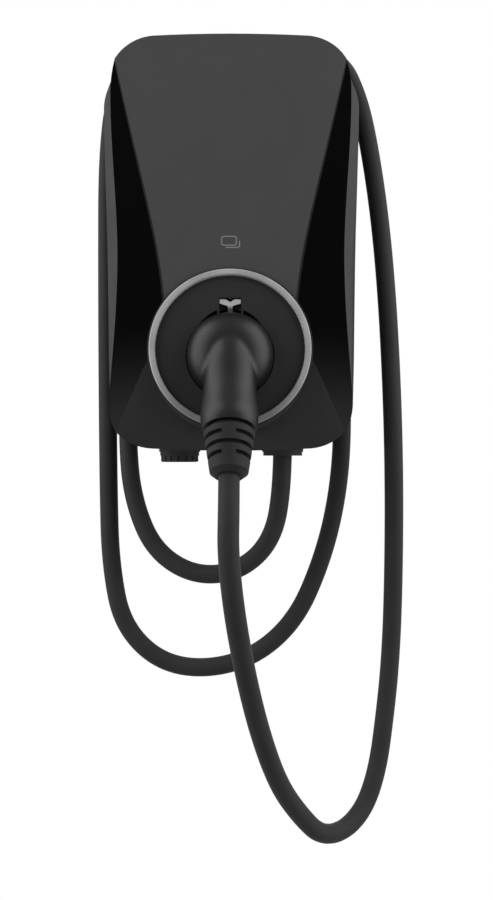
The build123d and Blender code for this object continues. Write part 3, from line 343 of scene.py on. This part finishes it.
def make_symbol(material):
    """Two overlapping cards as a thin print on the panel."""
    mesh = bmesh.new()
    for step_x, step_y, closed in ((0, 0, True), (CARD_STEP_X, CARD_STEP_Y, False)):
        line = [Vector((x + step_x, y + step_y)) for x, y in card_line(closed)]
        rows = []
        for index, point in enumerate(line):
            before = line[index - 1] if closed or index else point
            after = line[(index + 1) % len(line)] if closed or index + 1 < len(line) else point
            along = (after - before).normalized()
            across = Vector((along.y, -along.x)) * PRINT_WIDTH / 2
            rows.append([mesh.verts.new(on_panel(point + side * across)) for side in (-1, 1)])
        next_rows = rows[1:] + rows[:1] if closed else rows[1:]
        for near, far in zip(rows, next_rows):
            mesh.faces.new((near[0], far[0], far[1], near[1]))
    piece = new_piece("card_symbol", mesh, material)
    thick = piece.modifiers.new("thickness", "SOLIDIFY")
    thick.thickness = PRINT_HEIGHT
    thick.offset = 0


def make_spring(material):
    """Coil spring above the latch."""
    corners = [Vector(place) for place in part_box("latch_spring")]
    middle = (corners[0] + corners[1]) / 2
    sides = [2 * pi * side / WIRE_SIDES for side in range(WIRE_SIDES)]
    mesh = bmesh.new()
    rings = []
    for step in range(COIL_STEPS + 1):
        rise = SPRING_REACH * (step / COIL_STEPS - 0.5)
        turn = 2 * pi * rise / SPRING_PITCH
        outwards = Vector((cos(turn), 0, 0)) - PANEL_OUT * sin(turn)
        centre = middle + outwards * SPRING_RADIUS + PANEL_UP * rise
        round_wire = [(outwards * cos(side) + PANEL_UP * sin(side)) * SPRING_WIRE for side in sides]
        rings.append([mesh.verts.new(centre + offset) for offset in round_wire])
    for near, far in zip(rings, rings[1:]):
        for side in range(WIRE_SIDES):
            mesh.faces.new((near[side - 1], near[side], far[side], far[side - 1])).smooth = True
    mesh.faces.new(rings[0])
    mesh.faces.new(rings[-1])
    bmesh.ops.recalc_face_normals(mesh, faces=mesh.faces)
    spring = new_piece("latch_spring_visual", mesh, material)
    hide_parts("latch_spring")
    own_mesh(spring)


def paint(material, *names):
    """Gives CAD nodes a material."""
    for name in names:
        slots = nodes[name].data.materials
        slots.clear()
        slots.append(material)


def make_lamp(name, side):
    """Large soft lamp at one side that points at the object."""
    lamp = bpy.data.lights.new(name, "AREA")
    lamp.shape = "RECTANGLE"
    lamp.size = LAMP_WIDTH
    lamp.size_y = LAMP_HEIGHT
    lamp.energy = LAMP_POWER
    holder = bpy.data.objects.new(name, lamp)
    holder.location = (side * LAMP_REACH, LAMP_DEPTH, LAMP_RISE)
    holder.rotation_euler = (Vector(LAMP_TARGET) - holder.location).to_track_quat("-Z", "Y").to_euler()
    bpy.context.scene.collection.objects.link(holder)


def make_world():
    """Even white surroundings: plain white where they are seen, and a plain level of light on the object."""
    world = bpy.data.worlds.new("studio")
    bpy.context.scene.world = world
    world.use_nodes = True
    tree = world.node_tree
    background = tree.nodes["Background"]
    background.inputs["Color"].default_value = (1, 1, 1, 1)
    path = tree.nodes.new("ShaderNodeLightPath").outputs
    seen = compute(tree, "MAXIMUM", path["Is Camera Ray"], path["Is Glossy Ray"])
    clear = compute(tree, "MAXIMUM", seen, path["Is Transmission Ray"])
    tree.links.new(map_range(tree, clear, (0, 1), ROOM_LIGHT, 1), background.inputs["Strength"])


def make_floor():
    """Plain pale floor under the object, reaching a little behind its wall plane."""
    mesh = bpy.data.meshes.new("floor")
    front = [(-FLOOR_REACH, -FLOOR_REACH), (FLOOR_REACH, -FLOOR_REACH)]
    back = [(FLOOR_REACH, FLOOR_BACK), (-FLOOR_REACH, FLOOR_BACK)]
    mesh.from_pydata([(x, y, FLOOR_HEIGHT) for x, y in front + back], [], [(0, 1, 2, 3)])
    pale = moulded("floor_pale", FLOOR_COLOUR, 0.8, 0.0, grain=FLOOR_GRAIN, relief=0.01, spread=0.005)
    mesh.materials.append(pale)
    floor = bpy.data.objects.new("floor", mesh)
    bpy.context.scene.collection.objects.link(floor)


def make_camera():
    """Camera at about the middle of the object's height, looking straight at the wall."""
    lens = bpy.data.cameras.new("camera")
    lens.lens = CAMERA_LENS
    lens.sensor_width = CAMERA_SENSOR
    camera = bpy.data.objects.new("camera", lens)
    camera.location = CAMERA_PLACE
    camera.rotation_euler = (pi / 2, 0, 0)
    bpy.context.scene.collection.objects.link(camera)
    bpy.context.scene.camera = camera


bpy.context.scene.view_settings.view_transform = "Standard"
make_camera()
make_world()
make_floor()
make_lamp("lamp_left", -1)
make_lamp("lamp_right", 1)

# Materials: colour, roughness and mirror gloss, and for a metal the stretch of its streaks
# Side faces of the panel and bezel darken: the facets' own black plus painted shade, also on the panel's
# edges; painted light at the facets' foot
panel_grey = facet_black_and_painted_shade(moulded("panel_grey", (0.0455, 0.0455, 0.0465), 0.5, 0.03, spread=0.02))
bezel_black = facet_black_and_painted_shade(moulded("bezel_black", (0.03, 0.03, 0.0305), 0.42, 0.0, spread=0.03))
housing_grey = moulded("housing_grey", (0.045, 0.045, 0.046), 0.55, 0.0, spread=0.04)
holster_black = moulded("holster_black", (0.023, 0.023, 0.0235), 0.5, 0.02, spread=0.03)
gland_black = moulded("gland_black", (0.034, 0.034, 0.0345), 0.55, 0.03)
cable_black = moulded("cable_black", (0.0245, 0.0245, 0.025), 0.5, 0.03, spread=0.05)
connector_black = moulded("connector_black", (0.0028, 0.0028, 0.003), 0.42, 0.19, spread=0.05)
boot_rubber = moulded("boot_rubber", (0.0185, 0.0185, 0.019), 0.55, 0.06)
print_grey = moulded("print_grey", (0.15, 0.15, 0.15), 0.5, 0.1)
seal_rubber = moulded("seal_rubber", (0.012, 0.012, 0.012), 0.7, 0.2)
# The light ring turns darker towards its bottom: painted shade
ring_plain = moulded("ring_diffuser", (0.255, 0.255, 0.255), 0.4, 0.1, relief=0.02)
ring_pale = painted_shade_below(ring_plain, RING_PAINTED_SHADE_BAND, RING_PAINTED_SHADE_FACTOR)
case_black = moulded("case_black", (0.03, 0.03, 0.032), 0.5, 0.4)
terminal_grey = moulded("terminal_grey", (0.3, 0.31, 0.32), 0.5, 0.4)
board_green = moulded("board", (0.02, 0.09, 0.04), 0.35, 0.5, grain=1500.0)
zinc_steel = metal("steel", (0.55, 0.55, 0.56), 0.35, (1.0, 1.0, 0.1))
# The latch turns darker below its wings, on its stem: painted shade
latch_plain = metal("bright_metal", (0.37, 0.37, 0.38), 0.3, (0.1, 1.0, 1.0))
bright_metal = painted_shade_below(latch_plain, LATCH_PAINTED_SHADE_BAND, LATCH_PAINTED_SHADE_FACTOR)
contact_silver = metal("contact_silver", (0.8, 0.78, 0.74), 0.25, (1.0, 0.1, 1.0))

paint(panel_grey, "front_panel")
paint(housing_grey, "rear_housing")
paint(bezel_black, "front_bezel")
paint(holster_black, "holster")
paint(ring_pale, "light_ring")
paint(bright_metal, "holster_latch")
paint(gland_black, "inlet_gland_body", "inlet_gland_nut", "inlet_gland_cap")
paint(gland_black, "outlet_gland_body", "outlet_gland_nut")
paint(seal_rubber, "housing_seal", "inlet_gland_seal")
paint(connector_black, "connector_shell", "contact_carrier")
paint(boot_rubber, "connector_boot")
paint(contact_silver, "contact_sleeves")
paint(case_black, "power_relays", "supply_module", "leakage_sensor")
paint(terminal_grey, "terminal_block")
paint(board_green, "led_board", "card_reader_board", "main_board")
paint(zinc_steel, "wall_bracket", "lock_screw", "cover_screws", "led_board_screws", "latch_spring")
paint(zinc_steel, "card_reader_screws", "main_board_screws", "terminal_screws")
make_cable(cable_black)
make_symbol(print_grey)
make_spring(zinc_steel)
